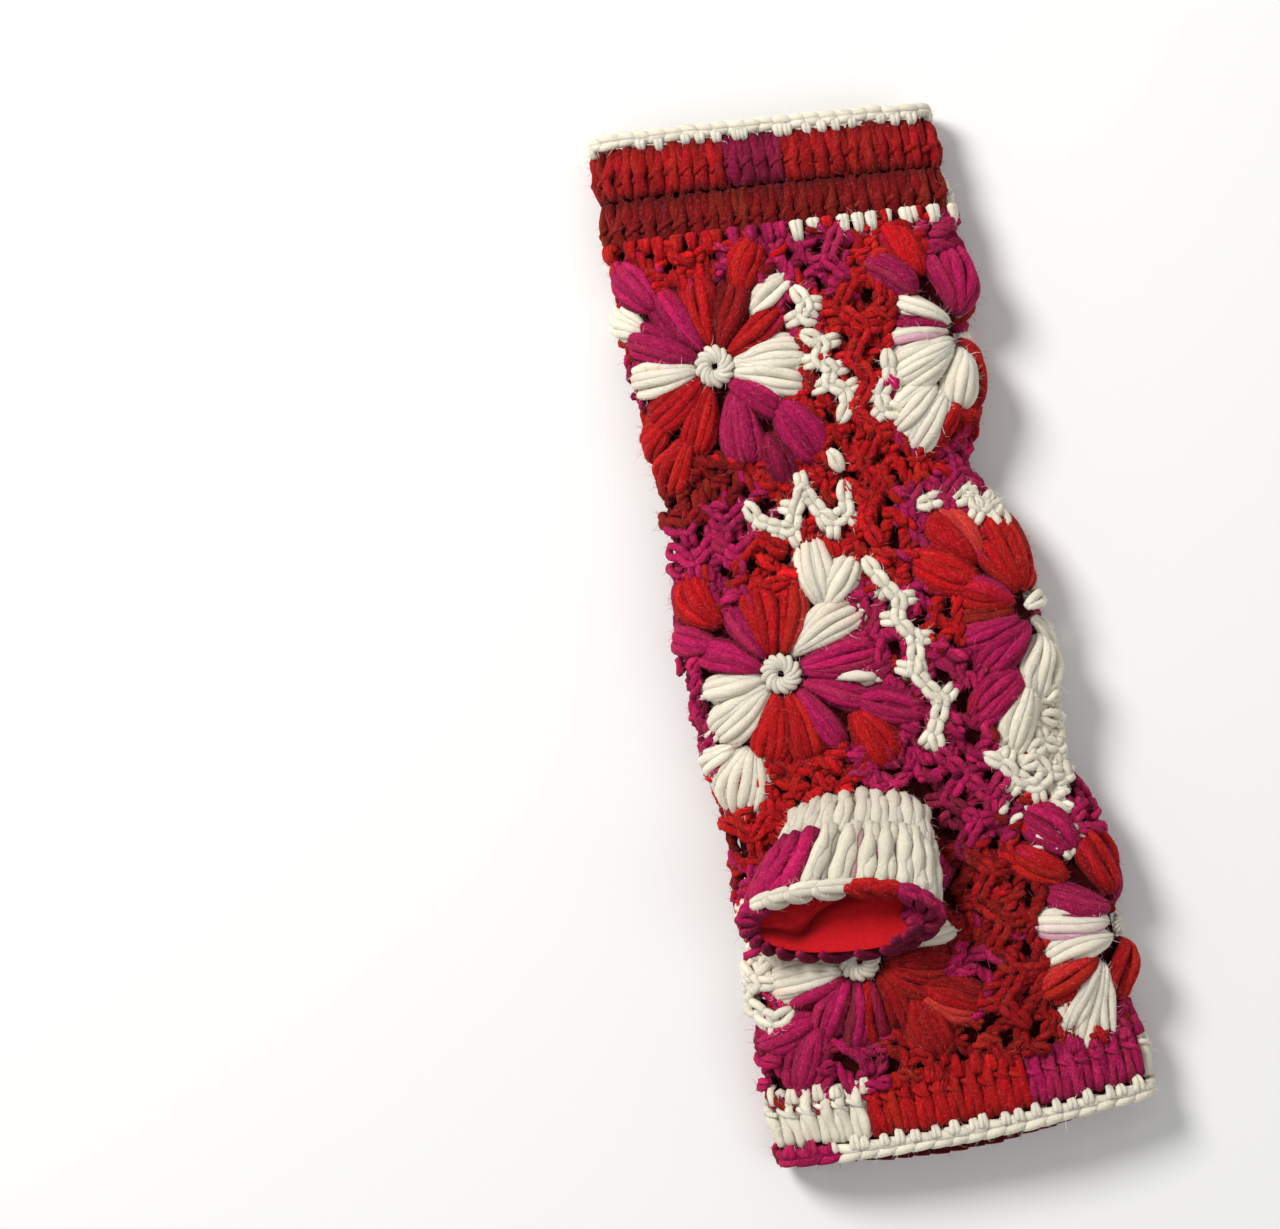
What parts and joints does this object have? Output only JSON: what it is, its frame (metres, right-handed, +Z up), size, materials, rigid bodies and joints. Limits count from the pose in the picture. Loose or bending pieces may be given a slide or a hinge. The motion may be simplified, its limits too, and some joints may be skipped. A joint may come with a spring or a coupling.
{
  "type": "crochet fingerless glove",
  "caption": "Long fleece-lined crochet fingerless glove lying flat: puff flowers joined by chain mesh, ribbed cuffs and a short open thumb.",
  "frame": {"origin": "on the surface it lies on, under the middle of its box", "axes": "+Z up out of the surface it lies on, +Y along the glove towards the arm end, -Y towards the finger end; the thumb stands on the -X half of the top"},
  "size_m": [0.11, 0.2878, 0.0424],
  "materials": {
    "variegated_wool": "soft hairy wool yarn, red, magenta and cream in turn",
    "cream_wool": "soft hairy cream wool yarn",
    "red_fleece": "matt brushed fleece"
  },
  "bodies": {
    "root": {"lining": "red_fleece", "lining_thumb": "red_fleece", "net_body": "variegated_wool", "flower_front_1": "variegated_wool", "flower_front_2": "variegated_wool", "flower_front_3": "variegated_wool", "flower_side_1": "variegated_wool", "flower_side_2": "variegated_wool", "flower_side_3": "variegated_wool", "flower_back_1": "variegated_wool", "flower_back_2": "variegated_wool", "flower_back_3": "variegated_wool", "cuff_wrist": "variegated_wool", "edge_wrist": "cream_wool", "cuff_hand": "variegated_wool", "edge_hand": "cream_wool", "thumb": "cream_wool", "edge_thumb": "variegated_wool"}
  },
  "joints": []
}
